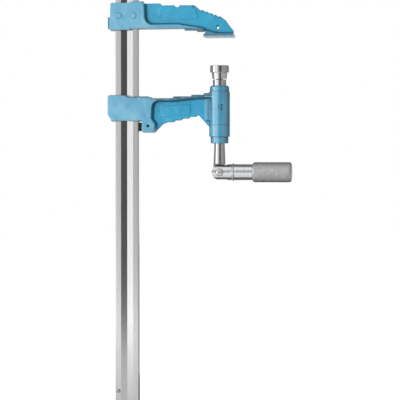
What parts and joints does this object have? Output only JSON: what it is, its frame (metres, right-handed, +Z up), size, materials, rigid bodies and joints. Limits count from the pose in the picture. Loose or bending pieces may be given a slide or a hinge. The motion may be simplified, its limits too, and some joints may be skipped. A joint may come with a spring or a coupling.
{
  "type": "quick release bar clamp",
  "caption": "Bar clamp: a jaw riveted to a grooved steel bar, and a sliding arm whose screw spindle carries a tilting pad and a folding round handle.",
  "frame": {"origin": "middle of the fixed jaw's clamping face, on the spindle's axis", "axes": "+X from the bar towards the jaw's tip, +Y away from the front face, +Z up along the bar and the spindle"},
  "size_m": [0.2732, 0.0306, 0.6],
  "materials": {
    "blue_paint": "semi-gloss paint on a rough casting",
    "bar_steel": "drawn, lightly brushed along its length",
    "turned_steel": "bright turned and plated",
    "knurled_steel": "knurled, plated",
    "dark_steel": "blackened",
    "spring_steel": "bright wire"
  },
  "bodies": {
    "bar": {"bar": "bar_steel", "fixed_jaw": "blue_paint", "jaw_rivet_left": "blue_paint", "jaw_rivet_right": "blue_paint", "end_stop_pin": "dark_steel"},
    "arm": {"sliding_arm": "blue_paint", "spindle_nut": "blue_paint", "nut_lock_screw": "blue_paint", "brake_pin": "dark_steel", "brake_spring": "spring_steel"},
    "shoe": {"brake_shoe": "dark_steel"},
    "pad_ring": {"pad_snap_ring": "spring_steel"},
    "pad": {"pressure_pad": "turned_steel"},
    "spindle": {"spindle": "turned_steel"},
    "handle": {"handle_fork": "turned_steel", "handle_ring": "turned_steel", "handle_shaft": "turned_steel", "handle_grip": "knurled_steel", "handle_pivot_pin": "turned_steel", "pivot_washer_front": "spring_steel", "pivot_washer_back": "spring_steel", "detent_ball": "spring_steel", "detent_spring": "spring_steel"}
  },
  "joints": [
    {"name": "arm_slide", "type": "slide", "parent": "bar", "child": "arm", "axis": [0, 0, 1], "range_m": [-0.396, 0.012]},
    {"name": "screw_travel", "type": "slide", "parent": "arm", "child": "pad_ring", "axis": [0, 0, 1], "range_m": [-0.009, 0.026]},
    {"name": "screw_turn", "type": "hinge", "parent": "pad_ring", "child": "spindle", "pos_m": [0, 0, -0.1], "axis": [0, 0, 1], "range_deg": [-809, 2339]},
    {"name": "pad_tilt", "type": "hinge", "parent": "pad_ring", "child": "pad", "pos_m": [0, 0, -0.052], "axis": [0, 1, 0], "range_deg": [-4, 4]},
    {"name": "handle_pivot", "type": "hinge", "parent": "spindle", "child": "handle", "pos_m": [0.0015, 0, -0.1979], "axis": [0, 1, 0], "range_deg": [0, 180]},
    {"name": "brake_press", "type": "slide", "parent": "arm", "child": "shoe", "axis": [1, 0, 0], "range_m": [0, 0.0008], "stiffness_N_per_m": 800, "springref_m": -0.0015, "deforming": ["brake_spring"]}
  ],
  "couplings": [
    {"joint": "screw_travel", "follows": "screw_turn", "m_per_rad": 0.00063662}
  ]
}
